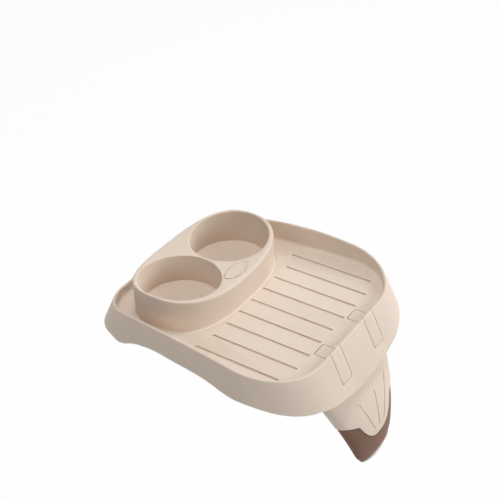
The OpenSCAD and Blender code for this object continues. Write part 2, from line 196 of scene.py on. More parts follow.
def mouldedFinish(name, colours, roughness, sheen, seed, highlighted=False):
    s, look = Sheet(bpy.data.materials.new(name)), mouldedPlastic
    body, shade, edge = (look[c] for c in colours)
    moved = s.vector("ADD", s.place(), (seed, seed * 2, seed * 3))
    cloud = s.noise(s.scaled(moved, 1 / look["cloudSize"]), look["noiseDetail"])
    grain = s.noise(s.scaled(moved, 1 / look["grainSize"]), look["noiseDetail"], look["noiseRough"])
    mottle = s.noise(s.scaled(moved, 1 / look["mottleSize"]), look["noiseDetail"], look["noiseRough"])
    worn = s.node("NewGeometry", want="Pointiness").ramp(*look["wornRamp"])
    tone = s.blend(cloud.ramp(*look["cloudRamp"]), shade, body)
    flecks = grain.ramp(*look["grainRamp"]) * look["grainShare"]
    flecks = flecks + mottle.ramp(*look["mottleRamp"]) * look["mottleShare"]
    colour = s.blend(worn * look["wornShare"], s.blend(flecks, tone, edge), edge)
    # the painted highlight along the collar's foot is mixed into the colour here
    if highlighted:
        colour = s.blend(paintedFootHighlight(s), colour, collarHighlight["colour"])
    rough = roughness + (grain - 0.5) * look["grainRough"] + (cloud - 0.5) * look["cloudRough"]
    rough = rough + (mottle - 0.5) * look["mottleRough"] - worn * look["wornRough"]
    bump = s.node("Bump", {}, {"Strength": look["bump"], "Distance": look["bumpHeight"] * mm,
                               "Height": grain + mottle * look["mottleHeight"]})
    return s.finish(s.node("BsdfPrincipled", {}, {"Base Color": colour, "Roughness": rough, "Normal": bump,
                                                  "IOR": look["ior"], "Specular IOR Level": sheen}))


def screwFinish():
    s, look = Sheet(bpy.data.materials.new("zincPlate")), zincCoat
    brushed = s.noise(s.vector("MULTIPLY", s.place(), look["brush"]), look["brushDetail"])
    blotch = s.noise(s.scaled(s.place(), look["blotch"]))
    colour = s.blend(blotch.ramp(*look["blotchRamp"]), look["dull"], look["bright"])
    bump = s.node("Bump", {}, {"Strength": look["bump"], "Distance": look["bumpHeight"] * mm,
                               "Height": brushed})
    return s.finish(s.node("BsdfPrincipled", {}, {
        "Base Color": colour, "Metallic": 1.0, "Roughness": look["roughness"] + brushed * look["brushRough"],
        "Normal": bump}))


# modelling helpers: picking by place, rings laid one after another, modifiers applied

def spot(x, y, z):       # mm from the rim's leg edge and from the floor's top, put in the row frame
    return Vector((x, y - trayForm["seatY"], z + trayForm["floorT"])) * mm


def meets(first, second):
    return abs(first - second) < touch


def choose(obj):
    if bpy.context.mode != "OBJECT":
        bpy.ops.object.mode_set(mode="OBJECT")
    bpy.ops.object.select_all(action="DESELECT")
    bpy.context.view_layer.objects.active = obj
    obj.select_set(True)
    return obj


def startEdit(obj):
    choose(obj)
    bpy.ops.object.mode_set(mode="EDIT")
    bpy.ops.mesh.select_all(action="DESELECT")


def endEdit(outwards=True):
    if outwards:
        bpy.ops.mesh.select_all(action="SELECT")
        bpy.ops.mesh.normals_make_consistent(inside=False)
    bpy.ops.object.mode_set(mode="OBJECT")
    return bpy.context.object


def pick(kind, test):    # selects the edges or faces that pass the test
    bpy.ops.mesh.select_mode(type={"edges": "EDGE", "faces": "FACE"}[kind])
    bpy.ops.mesh.select_all(action="DESELECT")
    shape = bmesh.from_edit_mesh(bpy.context.object.data)
    for part in getattr(shape, kind):
        part.select_set(bool(test(part)))
    shape.select_flush_mode()
    bmesh.update_edit_mesh(bpy.context.object.data)


def openLoop(test=lambda middle: True):     # picks open edges whose middle passes
    pick("edges", lambda e: e.is_boundary and test((e.verts[0].co + e.verts[1].co) / 2))


def startRing(name, places):                # a circle laid on its first ring of places, chosen in edit mode
    choose(frameRoot)
    bpy.ops.mesh.primitive_circle_add(vertices=len(places), radius=0.1)
    obj = bpy.context.object
    obj.name = obj.data.name = name
    number = obj.data.attributes.new("station", "INT", "POINT")
    for i, place in enumerate(places):
        obj.data.vertices[i].co = place
        number.data[i].value = i
    startEdit(obj)
    bpy.ops.mesh.select_mode(type="EDGE")
    bpy.ops.mesh.select_all(action="SELECT")
    return obj


def nextRing(places):                       # the chosen loop is extruded and laid on the next places
    bpy.ops.mesh.extrude_edges_move()
    shape = bmesh.from_edit_mesh(bpy.context.object.data)
    number = shape.verts.layers.int["station"]
    for v in shape.verts:
        if v.select:
            v.co = places[v[number]]
    bmesh.update_edit_mesh(bpy.context.object.data)


def moveChosen(place):                      # each chosen vertex goes where place puts it
    shape = bmesh.from_edit_mesh(bpy.context.object.data)
    for v in shape.verts:
        if v.select:
            v.co = place(v.co)
    bmesh.update_edit_mesh(bpy.context.object.data)


def lay(name, rings):                       # a closed skin from a list of rings
    startRing(name, rings[0])
    for ring in rings[1:]:
        nextRing(ring)
    openLoop()
    bpy.ops.mesh.fill_holes(sides=0)
    return endEdit()


def dress(obj, kind, **settings):           # a modifier, set and applied
    choose(obj)
    bpy.ops.object.modifier_add(type=kind)
    modifier = obj.modifiers[-1]
    for key, value in settings.items():
        setattr(modifier, key, value)
    bpy.ops.object.modifier_apply(modifier=modifier.name)
    return obj


def combine(obj, tool, operation):          # the tool is used up
    dress(obj, "BOOLEAN", operation=operation, object=tool, solver="EXACT")
    bpy.data.objects.remove(tool)
    return obj


def prism(name, outline, low, high, axis):  # a flat outline drawn along x or y, in mm
    def ring(at):
        return [spot(at, u, v) if axis == "x" else spot(u, at, v) for u, v in outline]
    return lay(name, [ring(low), ring(high)])


def twin(obj, name):                        # a copy with its own mesh
    choose(obj)
    bpy.ops.object.duplicate()
    copy = bpy.context.object
    copy.name = copy.data.name = name
    return copy


def block(name, low, high):                 # a box from corner to corner, in mm
    choose(frameRoot)
    a, b = spot(*low), spot(*high)
    bpy.ops.mesh.primitive_cube_add(size=1, location=(a + b) / 2, scale=b - a)
    obj = bpy.context.object
    obj.name = obj.data.name = name
    bpy.ops.object.transform_apply()
    return obj


def rod(name, at, axis, radius, length, sides=64):   # a cylinder from at, along axis, in mm
    choose(frameRoot)
    way = Vector(axis)
    bpy.ops.mesh.primitive_cylinder_add(vertices=sides, radius=radius * mm, depth=length * mm,
                                        location=spot(*at) + way * length / 2 * mm,
                                        rotation=way.to_track_quat("Z", "Y").to_euler())
    obj = bpy.context.object
    obj.name = obj.data.name = name
    bpy.ops.object.transform_apply()
    return obj


def weld(first, *others):                   # pieces of one moulding made one mesh
    choose(first)
    for other in others:
        other.select_set(True)
    bpy.ops.object.join()
    return first


def softEdges(obj, width, angle=40):        # edges sharper than angle degrees get a small bevel
    return dress(obj, "BEVEL", width=width * mm, segments=2, limit_method="ANGLE",
                 angle_limit=radians(angle), use_clamp_overlap=False, miter_outer="MITER_ARC")


def handOver(obj, material, slot, *replaced):
    choose(obj)
    bpy.ops.object.shade_smooth_by_angle(angle=radians(smoothAngle))
    if "station" in obj.data.attributes:
        obj.data.attributes.remove(obj.data.attributes["station"])
    obj.data.materials.clear()
    obj.data.materials.append(material)
    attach(obj, "root")
    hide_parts(*replaced)
    print(obj.name, "ready,", len(obj.data.polygons), "faces")


# tray: one moulding with a rim, a flared skirt, a grooved floor and a collar round two wells

trayForm = {
    "seatY": 100.5, "rimDepth": 200.4, "cornerX": 48.5, "frontCornerR": 50.5, "backCornerR": 39.4,
    "sideR": 660.0, "rimH": 19.4, "rimPeakY": 105.5, "rimArchR": 403.0,
    "legEndSteps": 8, "frontSteps": 22, "sideSteps": 16, "backSteps": 18, "wellEndSteps": 4,
    "wallT": 2.2, "floorT": 2.4, "wallDraft": 0.1,
    "floorFillet": 3.0, "floorStrip": 1.6, "lip": 1.05, "hem": 0.6,
    "frontFlare": 0.45, "backFlare": 0.49, "sideFlare": 0.28, "skirtH": 28.0,
    "archTop": 0.6, "archR": 280.0, "archY": 104.6, "frontSag": 7.2, "sagHalfW": 62.0, "backRise": 5.4,
    "swells": [(167.0, 11.0, -4.4), (128.0, 14.0, 1.1), (52.0, 16.0, -2.4)],    # middle y, reach, rise
    "grooveN": 9, "groovePitch": 18.9, "grooveLen": 81.6, "grooveW": 2.6, "grooveD": 1.6,
    "grooveRound": 0.98, "grooveY": 58.5, "grooveShift": 4.7, "grooveFoot": 0.5, "cutRise": 1.0,
    "armX": 26.8, "armW": 14.4, "armEnd": 16.0, "armDrop": 21.0, "armRound": 2.0, "armClear": 60.0,
    "seam": 0.3, "armPlay": 0.25, "seamEdge": 0.3, "seamTurn": 0.7, "seamFootY": -6.0,
}
wellForm = {
    "r": 35.8, "x": 36.7, "y": 146.4, "a": 74.2, "b": 45.2, "n": 2.57, "h": 26.1, "topR": 411.0,
    "mouth": 0.6, "crown": 3.0, "crownEnd": 0.6, "footFillet": 1.2, "sink": 1.0, "skin": 2.2,
    "landHalfW": 30.0, "landShares": (0.1, 0.35, 0.65, 0.9, 1), "outerSteps": 72, "innerSteps": 28,
    "landSteps": 15, "outlineSteps": 120, "ovalSteps": 64,
    "hollowLow": -6.0, "hollowY": (90.0, 200.0), "cutZ": (-10.0, 70.0), "cutHalfW": 40.0,
    "ovalA": 15.0, "ovalB": 6.2, "ovalY": 112.8, "ovalLine": 0.9, "ovalH": 0.5, "ovalSoft": 0.22,
    "ovalSink": 1.2, "moat": 0.6, "moatInner": 0.1, "moatRise": 1.5,
}
quarterSteps = 4                            # steps in a quarter turn of a fillet or crown


def quarter(k):
    return k * pi / 2 / quarterSteps


def sagOf(r, d):                            # how far an arc of radius r falls at d from its middle
    return r - sqrt(r * r - d * d)


def arcStations(cx, cy, r, a0, a1, n):
    turns = [a0 + (a1 - a0) * i / n for i in range(1, n + 1)]
    return [(cx + r * cos(a), cy + r * sin(a), cos(a), sin(a)) for a in turns]


def rimStations():                          # x, y and outward direction round the rim, anticlockwise
    form = trayForm
    cornerX, depth, sideR = form["cornerX"], form["rimDepth"], form["sideR"]
    frontR, backR = form["frontCornerR"], form["backCornerR"]
    backY, ra, rb = depth - backR, sideR - frontR, sideR - backR
    run = backY - frontR
    up = (ra * ra - rb * rb + run * run) / (2 * run)
    sideX, sideY = cornerX - sqrt(ra * ra - up * up), frontR + up
    a0, a1 = (atan2(c - sideY, cornerX - sideX) for c in (frontR, backY))
    legEnd, wellEnd = form["legEndSteps"], form["wellEndSteps"]
    half = [(cornerX * i / legEnd, 0, 0, -1) for i in range(legEnd + 1)]
    half += arcStations(cornerX, frontR, frontR, -pi / 2, a0, form["frontSteps"])
    half += arcStations(sideX, sideY, sideR, a0, a1, form["sideSteps"])
    half += arcStations(cornerX, backY, backR, a1, pi / 2, form["backSteps"])
    half += [(cornerX * (1 - i / wellEnd), depth, 0, 1) for i in range(1, wellEnd + 1)]
    return half + [(-x, y, -nx, ny) for x, y, nx, ny in half[-2:0:-1]]


def rimZ(y):
    return trayForm["rimH"] - sagOf(trayForm["rimArchR"], y - trayForm["rimPeakY"])


def skirtZ(x, y, ny, out):                  # the arched edge, lower before the leg and higher at the back
    form = trayForm
    drop = form["frontSag"] * max(0, 1 - (x / form["sagHalfW"]) ** 2) if ny < 0 else -form["backRise"]
    at = y + ny * out
    swell = sum(rise * exp(-((at - middle) / reachY) ** 2) for middle, reachY, rise in form["swells"])
    return form["archTop"] - sagOf(form["archR"], at - form["archY"]) - drop * ny * ny + swell * (1 - ny * ny)


def rounded(corners, steps=5):              # (out, z, setback) corners, each one with a setback made round
    line = []
    for i, (u, v, back) in enumerate(corners):
        if not back:
            line.append((u, v))
            continue
        ends = []
        for j in (i - 1, i + 1):
            du, dv = corners[j][0] - u, corners[j][1] - v
            size = sqrt(du * du + dv * dv)
            ends.append((u + du * back / size, v + dv * back / size))
        for k in range(steps + 1):
            f = k / steps
            line.append(tuple((1 - f) ** 2 * ends[0][c] + 2 * f * (1 - f) * (u, v)[c] + f * f * ends[1][c]
                              for c in (0, 1)))
    return line


def rimSection(station):                    # from the floor over the lip and down the skirt to the underside
    form = trayForm
    x, y, _, ny = station
    lipZ, thick, draft = rimZ(y), form["wallT"], form["wallDraft"]
    endFlare = form["frontFlare" if ny < 0 else "backFlare"]
    flare = form["sideFlare"] + (endFlare - form["sideFlare"]) * abs(ny)
    edgeZ = skirtZ(x, y, ny, flare * (lipZ - skirtZ(x, y, ny, flare * form["skirtH"])))
    foot, under, skirt = -thick - draft * lipZ, thick / (flare + draft), flare * (lipZ - edgeZ)
    return rounded([
        (foot - form["floorFillet"] - form["floorStrip"], 0, 0), (foot, 0, form["floorFillet"]),
        (-thick, lipZ, form["lip"]), (0, lipZ, form["lip"]), (skirt / 2, (lipZ + edgeZ) / 2, 0),
        (skirt, edgeZ, form["hem"]), (skirt - thick, edgeZ, form["hem"]),
        (-draft * under, lipZ - under, 0), (-draft * (lipZ + form["floorT"]), -form["floorT"], 0)])


def makeShell():
    stations = rimStations()
    sections = [rimSection(s) for s in stations]
    rings = []
    for j in range(len(sections[0])):
        rings.append([spot(x + nx * line[j][0], y + ny * line[j][0], line[j][1])
                      for (x, y, nx, ny), line in zip(stations, sections)])
    return lay("traySkin", rings)


def makeGrooves():                          # one round-ended cutter, copied along the floor
    form = trayForm
    last, w, far = (form["grooveN"] - 1) // 2, form["grooveW"] / 2, form["grooveLen"] / 2
    groove = block("grooves", (-w, form["grooveY"] - far, -form["grooveD"]),
                   (w, form["grooveY"] + far, form["cutRise"]))
    startEdit(groove)
    pick("edges", lambda e: not meets(e.verts[0].co.z, e.verts[1].co.z))
    bpy.ops.mesh.bevel(offset=w * form["grooveRound"] * mm, segments=8)
    low = spot(0, 0, -form["grooveD"]).z
    pick("edges", lambda e: all(meets(v.co.z, low) for v in e.verts))
    bpy.ops.mesh.bevel(offset=form["grooveFoot"] * mm, segments=3)
    endEdit()
    copies = []
    for k in range(-last, last + 1):
        if k:
            shift = form["grooveShift"] if abs(k) == last else 0
            copies.append(twin(groove, "groove"))
            bpy.ops.transform.translate(value=(k * form["groovePitch"] * mm, shift * mm, 0))
            bpy.ops.object.transform_apply()
    return weld(groove, *copies)


def makeArmBlocks(gap):                     # where the leg frame's two arms lie in the moulding
    form, sides = trayForm, []
    clear, drop, endY = form["armClear"], form["armDrop"] + gap, form["armEnd"] + gap
    low, end = spot(0, 0, -drop).z, spot(0, endY, 0).y
    for side in (-1, 1):
        middle, half = side * form["armX"], form["armW"] / 2 + gap
        startEdit(block("armBlock", (middle - half, -clear, -drop), (middle + half, endY, clear)))
        pick("edges", lambda e: meets(e.verts[0].co.x, e.verts[1].co.x)
             and (all(meets(v.co.z, low) for v in e.verts) or all(meets(v.co.y, end) for v in e.verts)))
        bpy.ops.mesh.bevel(offset=form["armRound"] * mm, segments=5)
        sides.append(endEdit())
    return weld(*sides)


def dishZ(x):                               # the collar's top, lowest in the middle plane
    return wellForm["h"] + sagOf(wellForm["topR"], x)


def reach(turn, a, b):                      # from a well's middle to the collar's outline, by 50 halvings
    well, near, far = wellForm, 0.0, 2 * a
    for _ in range(50):
        d = (near + far) / 2
        x, y = well["x"] + d * cos(turn), d * sin(turn)
        inside = (abs(x) / a) ** well["n"] + (abs(y) / b) ** well["n"] < 1
        near, far = (d, far) if inside else (near, d)
    return near


def crownPlace(place, turn, last):          # from one turn of the collar's crown to the next
    well = wellForm
    (a0, b0), (a1, b1) = ((well["a"] - well["crownEnd"] * (1 - cos(t)),
                           well["b"] - well["crown"] * (1 - cos(t))) for t in (last, turn))
    x, y = place.x / mm * a1 / a0, (place.y / mm + trayForm["seatY"] - well["y"]) * b1 / b0
    soft = well["crownEnd"] + (well["crown"] - well["crownEnd"]) * min(1, abs(y) / b1)
    return spot(x, well["y"] + y, dishZ(abs(x)) - soft * (1 - sin(turn)))


def makeCollar():
    well, r, mouth = wellForm, wellForm["r"], wellForm["mouth"]
    a, b = well["a"] - well["crownEnd"], well["b"] - well["crown"]
    outer, inner = well["outerSteps"], well["innerSteps"]
    corner = atan2(b, -well["x"])           # the ray that meets the outline in the middle plane
    turns = [-corner + 2 * corner * i / outer for i in range(outer + 1)]
    turns += [corner + 2 * (pi - corner) * i / inner for i in range(1, inner)]
    ends = [reach(t, a, b) if abs(t) <= corner + tiny and t < pi else -well["x"] / cos(t) for t in turns]

    def ring(out, drop=0.0, share=0.0):     # share runs from the mouth to the outline
        places = []
        for t, end in zip(turns, ends):
            d = r + out + (end - r - out) * share
            x = max(0.0, well["x"] + d * cos(t))
            places.append(spot(x, well["y"] + d * sin(t), dishZ(x) - drop))
        return places

    bottom = [spot(well["x"] + r * cos(t), well["y"] + r * sin(t), -well["sink"]) for t in turns]
    collar = startRing("collar", bottom)
    for k in range(quarterSteps + 1):       # up the well's wall and round its mouth
        nextRing(ring(mouth * (1 - cos(quarter(k))), mouth * (1 - sin(quarter(k)))))
    for share in well["landShares"]:        # across the land
        nextRing(ring(mouth, 0, share))
    endEdit(outwards=False)
    dress(collar, "MIRROR", use_axis=(True, False, False), merge_threshold=touch)
    startEdit(collar)
    middle, floorZ = spot(0, well["y"], 0), spot(0, 0, 1).z
    openLoop(lambda m: m.z > floorZ)
    last = pi / 2
    for k in range(1, quarterSteps + 1):    # over the soft crown, which is thin at the ends
        turn = pi / 2 - quarter(k)
        bpy.ops.mesh.extrude_edges_move()
        moveChosen(lambda v: crownPlace(v, turn, last))
        last = turn
    foot, last = well["footFillet"], 0.0
    bpy.ops.mesh.extrude_edges_move()       # down to the foot, and out in a small fillet
    bpy.ops.transform.resize(value=(1, 1, 0), center_override=spot(0, 0, foot))
    for k in range(1, quarterSteps + 1):
        turn = quarter(k)
        bpy.ops.mesh.extrude_edges_move()
        growX, growY = ((well[k] + foot * (1 - cos(turn))) / (well[k] + foot * (1 - cos(last))) for k in "ab")
        bpy.ops.transform.resize(value=(growX, growY, 1), center_override=middle)
        bpy.ops.transform.translate(value=(0, 0, (sin(last) - sin(turn)) * foot * mm))
        last = turn
    bpy.ops.mesh.extrude_edges_move()
    bpy.ops.transform.resize(value=(1, 1, 0), center_override=spot(0, 0, -well["sink"]))
    openLoop()
    bpy.ops.mesh.fill()
    return endEdit()


def superRing(a, b, n, count, y, z):        # a rounded outline in plan, z may follow x
    places = []
    for i in range(count):
        c, s = cos(2 * pi * i / count), sin(2 * pi * i / count)
        x = copysign(a * abs(c) ** (2 / n), c)
        places.append(spot(x, y + copysign(b * abs(s) ** (2 / n), s), z(x)))
    return places


def makeOval(name, profile):                # a section of (inset, height) points led round the land's oval
    well = wellForm
    rings = [superRing(well["ovalA"] - inset, well["ovalB"] - inset, 2, well["ovalSteps"], well["ovalY"],
                       lambda x, height=height: dishZ(x) + height) for inset, height in profile]
    startRing(name, rings[0])
    for ring in rings[1:]:
        nextRing(ring)
    openLoop()
    bpy.ops.mesh.bridge_edge_loops()
    return endEdit()


def addOval(shell):                         # a plain raised oval line with a fine moat round it
    line, high, soft, sink = (wellForm[k] for k in ("ovalLine", "ovalH", "ovalSoft", "ovalSink"))
    moat, inner, rise = (wellForm[k] for k in ("moat", "moatInner", "moatRise"))
    trench = [(-moat, rise), (-moat, -moat), (inner, -moat), (inner, rise)]
    combine(shell, makeOval("ovalMoat", trench), "DIFFERENCE")
    raised = rounded([(0, -sink, 0), (0, high, soft), (line, high, soft), (line, -sink, 0)], 3)
    return combine(shell, makeOval("ovalRing", raised), "UNION")


def makeLandHollows():                      # the open room under the land, before and behind the wells
    well, half, steps = wellForm, wellForm["landHalfW"], wellForm["landSteps"]
    side, (low, high) = well["cutHalfW"], well["cutZ"]
    under = [(x, dishZ(x) - well["skin"]) for x in [half - half * i / steps for i in range(2 * steps + 1)]]
    hollow = prism("landHollow", under + [(-half, well["hollowLow"]), (half, well["hollowLow"])],
                   *well["hollowY"], "y")
    inner = [superRing(well["a"] - well["skin"], well["b"] - well["skin"], well["n"], well["outlineSteps"],
                       well["y"], lambda x, z=z: z) for z in (low, high)]
    combine(hollow, lay("landOutline", inner), "INTERSECT")
    near, far = well["y"] - well["r"] / 2, well["y"] + well["r"] / 2
    combine(hollow, block("middle", (-side, near, low), (side, far, high)), "DIFFERENCE")
    for x in (-well["x"], well["x"]):
        skin = rod("wellSkin", (x, well["y"], low), (0, 0, 1), well["r"] + well["skin"], high - low)
        combine(hollow, skin, "DIFFERENCE")
    return hollow


def softenArmSeams(obj, gap):               # the sharp edges of the arms' openings are broken a little
    form = trayForm
    startEdit(obj)
    near, far = (spot(form["armX"] + way * (form["armW"] / 2 + gap), 0, 0).x for way in (-1, 1))
    endY, lowZ = spot(0, form["armEnd"] + gap, 0).y, spot(0, 0, -form["armDrop"] - gap).z
    turned, footY = form["armRound"] * mm, spot(0, form["seamFootY"], 0).y

    def onOpening(v):
        x = abs(v.co.x)
        if not near - touch < x < far + touch or v.co.y > endY + touch:
            return False
        onSide = min(x - near, far - x) < touch
        onFoot = v.co.z < lowZ + turned + touch and v.co.y < footY
        return onSide or onFoot or v.co.y > endY - turned - touch

    pick("edges", lambda e: len(e.link_faces) == 2 and e.calc_face_angle(0) > form["seamTurn"]
         and all(onOpening(v) for v in e.verts))
    bpy.ops.mesh.bevel(offset=form["seamEdge"] * mm, segments=2)
    return endEdit(outwards=False)


def makeTray(shell):
    gap = trayForm["seam"]
    combine(shell, makeGrooves(), "DIFFERENCE")
    combine(shell, makeArmBlocks(gap), "DIFFERENCE")
    softenArmSeams(shell, gap)
    combine(shell, makeCollar(), "UNION")
    addOval(shell)
    combine(shell, makeLandHollows(), "DIFFERENCE")
    shell.name = shell.data.name = "trayMoulding"
    return shell


# leg: a rear shell on the frame, a beige cover and a brown grip, cut from one tapering body

legForm = {
    "halfW": 54.0, "footHalfW": 26.7, "depth": 28.0, "footDepth": 11.0, "n": 2.15, "top": 4.8,
    "low": 117.2, "out": 10.9, "bulge": 18.1, "lean": 2.44, "sway": 1.38, "exit": 30.0,
    "footRound": 18.0, "footShare": 0.12, "ringSteps": 96, "bodySteps": 22, "roundSteps": 10, "seamSteps": 30,
    "rearDepth": 4.0, "gripLow": 111.0, "gripEnd": 109.6, "gripStep": 0.8, "gap": 0.15, "edge": 0.32,
    "gripEdge": 0.6, "edgeGap": 0.45, "gripGap": 0.55,
    "lobeLow": 89.5, "lobeHalfW": 24.8, "lobeN": 2.7, "lobeTuck": 2.0,
    "shoulderLow": 68.9, "shoulderRise": 0.36, "wave": 3.4, "waveHalfW": 70,
    "plateHalfW": 46.0, "plateSeat": 0.4, "plateFront": 1.0, "plateBack": 8.0, "plateEdge": 0.3,
    "rootSink": 1.4, "rootTip": 1.2, "rootSet": 2.2,
    "cutSide": 80.0, "cutTop": 10.0, "cutFoot": 125.0, "cutPast": 10.0,
}
fluteForm = {
    "outerX": 26.5, "outerTop": 45.5, "innerX": 19.0, "innerTop": 50.5, "footX": 7.5, "foot": 82.0,
    "middleX": 3.8, "footHalfW": 0.5, "depth": 0.5,
}
screwForm = {
    "spots": [(22.0, -45.0), (-22.0, -45.0), (14.0, -96.0), (-14.0, -96.0)],
    "shankR": 1.4, "shankLen": 5.6, "point": 0.6, "headR": 2.7, "headH": 1.8, "headEdge": 0.6, "sides": 48,
    "seat": 4.4, "seatCut": 14.0, "crossW": 0.7, "crossShare": 0.6, "crossD": 1.0,
}


def legShare(z):                            # 0 where the leg leaves the skirt, 1 at the grip's foot
    return (-legForm["exit"] - z) / (legForm["gripLow"] - legForm["exit"])


def legFront(z):
    s = legShare(z)
    return -legForm["out"] - legForm["bulge"] * (legForm["lean"] * s - legForm["sway"] * s * s)


def legDeep(z):
    s = max(0, legShare(z))
    return max(legForm["footDepth"], legForm["depth"] + (legForm["footDepth"] - legForm["depth"]) * s * s)


def legRing(z, inset):
    leg, s = legForm, max(0, legShare(z))
    d = min(1, max(0, (leg["footRound"] - leg["low"] - z) / leg["footRound"]))
    cut = leg["footRound"] * (1 - sqrt(max(0, 1 - d * d)))
    a = leg["halfW"] + (leg["footHalfW"] - leg["halfW"]) * s - cut - inset
    thin = inset + cut * leg["footShare"]
    y0, y1 = legFront(z) + thin, legFront(z) + legDeep(z) - thin
    return superRing(a, (y1 - y0) / 2, leg["n"], leg["ringSteps"], (y0 + y1) / 2, lambda x: z)


def makeBody(name, inset=0.0):
    top, foot, steps, turns = (legForm[k] for k in ("top", "footRound", "bodySteps", "roundSteps"))
    straight = legForm["low"] - foot
    levels = [-top - (straight - top) * i / steps for i in range(steps + 1)]
    levels += [-straight - foot * sin(pi / 2 * i / turns) for i in range(1, turns + 1)]
    return lay(name, [legRing(z, inset) for z in levels])


def seamBlock(gap):                         # all in front of the seam with the rear shell
    leg, side, top, foot = legForm, legForm["cutSide"], legForm["cutTop"], -legForm["cutFoot"]
    seam = []
    for i in range(leg["seamSteps"] + 1):
        z = -leg["top"] - (leg["low"] - leg["top"]) * i / leg["seamSteps"]
        seam.append((legFront(z) + legDeep(z) - min(leg["rearDepth"], legDeep(z) / 2) - gap, z))
    outline = [(-side, top), (seam[0][0], top)] + seam + [(seam[-1][0], foot), (-side, foot)]
    return prism("seamBlock", outline, -side, side, "x")


def coverEdge(x):                           # the wavy edge between cover and grip, seen from the front
    leg, soft = legForm, legForm["wave"]    # lobe and shoulder run into each other over soft mm
    climb = leg["lobeLow"] - leg["shoulderLow"] - leg["lobeTuck"]
    lobe = -leg["lobeLow"] + climb * abs(x / leg["lobeHalfW"]) ** leg["lobeN"]
    shoulder = -leg["shoulderLow"] + leg["shoulderRise"] * (abs(x) - leg["lobeHalfW"])
    apart = lobe - shoulder
    if abs(apart) > soft:
        return min(lobe, shoulder)
    return (lobe + shoulder) / 2 - soft / 4 - apart ** 2 / (4 * soft)


def edgeBlock(gap):                         # all above the cover's edge
    leg, half = legForm, legForm["waveHalfW"]
    line = [(x, coverEdge(x) + gap) for x in range(-half, half + 1)]
    outline = [(-half, leg["cutTop"])] + line + [(half, leg["cutTop"])]
    return prism("edgeBlock", outline, -leg["cutSide"], leg["cutSide"], "y")


def makeFlutes():                           # three shallow wedges that run together towards the lobe
    flute, side = fluteForm, legForm["cutSide"]
    top, foot, half = -flute["innerTop"], -flute["foot"], flute["footHalfW"]
    outer = [(flute["outerX"], -flute["outerTop"]), (flute["innerX"], top),
             (flute["footX"] - half, foot), (flute["footX"] + half, foot)]
    middle = [(-flute["middleX"], top), (flute["middleX"], top), (half, foot), (-half, foot)]
    mirrored = [(-x, z) for x, z in outer]
    flutes = weld(*[prism("flute", outline, -side, side, "y") for outline in (mirrored, outer, middle)])
    return combine(flutes, makeBody("fluteFloor", flute["depth"]), "DIFFERENCE")


def screwSeatY(z):
    return legFront(z) + legDeep(z) - screwForm["seat"]


def makeCover():
    leg, side = legForm, legForm["cutSide"]
    cover = combine(makeBody("legCoverShell"), seamBlock(leg["gap"]), "INTERSECT")
    combine(cover, edgeBlock(leg["edgeGap"]), "INTERSECT")
    topLimit = block("topLimit", (-side, -side, -leg["top"] - leg["gap"]), (side, side, leg["cutTop"]))
    combine(cover, topLimit, "DIFFERENCE")
    softEdges(cover, leg["edge"])
    return combine(cover, makeFlutes(), "DIFFERENCE")


def makeGrip():
    leg, side = legForm, legForm["cutSide"]
    grip = combine(makeBody("legGripShell", leg["gripStep"]), seamBlock(leg["gap"]), "INTERSECT")
    combine(grip, edgeBlock(-leg["gripGap"]), "DIFFERENCE")
    footLimit = block("footLimit", (-side, -side, -leg["cutFoot"]), (side, side, -leg["gripEnd"]))
    combine(grip, footLimit, "DIFFERENCE")
    return softEdges(grip, leg["edge"] * leg["gripEdge"])


def makeArms(skin):                         # the frame's two arms, which follow the tray's rim and skirt
    form = trayForm
    return softEdges(combine(skin, makeArmBlocks(-form["armPlay"]), "INTERSECT"), form["seamEdge"])


def addArmRoots(arms, plateTop):            # what carries each arm, from the plate to its tip
    leg, form, sink = legForm, trayForm, legForm["rootSink"]
    lipZ, drop, end = rimZ(0), form["armDrop"], form["armEnd"]
    tipY = sink - form["frontFlare"] * (lipZ + drop)
    wedge = [(tipY, -drop), (tipY + leg["rootTip"], -drop),
             (legFront(-leg["top"]) - leg["rootSet"], plateTop - sink),
             (end, plateTop - sink), (end, -sink), (sink - form["frontFlare"] * (lipZ + sink), -sink)]
    for side in (-1, 1):
        middle, half = side * form["armX"], form["armW"] / 2
        combine(arms, prism("armRoot", wedge, middle - half, middle + half, "x"), "UNION")
    return arms


def makeFrame(arms):                        # rear shell, top plate and the two arms in one piece
    leg, fixing = legForm, screwForm
    body = makeBody("legFrameShell")
    past = leg["cutSide"] + leg["cutPast"]
    footStop = block("footStop", (-past, -past, -leg["cutFoot"] - leg["cutPast"]),
                     (past, past, -leg["gripEnd"] - leg["gap"]))
    combine(body, combine(seamBlock(0), footStop, "DIFFERENCE"), "DIFFERENCE")
    for x, z in fixing["spots"]:
        seat = rod("screwSeat", (x, screwSeatY(z), z), (0, 1, 0), fixing["headR"] + leg["gap"],
                   fixing["seatCut"])
        combine(body, seat, "DIFFERENCE")
    softEdges(body, leg["edge"])
    plateY, plateTop = legFront(-leg["top"]) + leg["plateFront"], leg["plateSeat"] - trayForm["floorT"]
    plate = block("plate", (-leg["plateHalfW"], plateY, -leg["top"]),
                  (leg["plateHalfW"], plateY + leg["depth"] + leg["plateBack"], plateTop))
    combine(body, softEdges(plate, leg["plateEdge"]), "UNION")
    return combine(body, addArmRoots(arms, plateTop), "UNION")


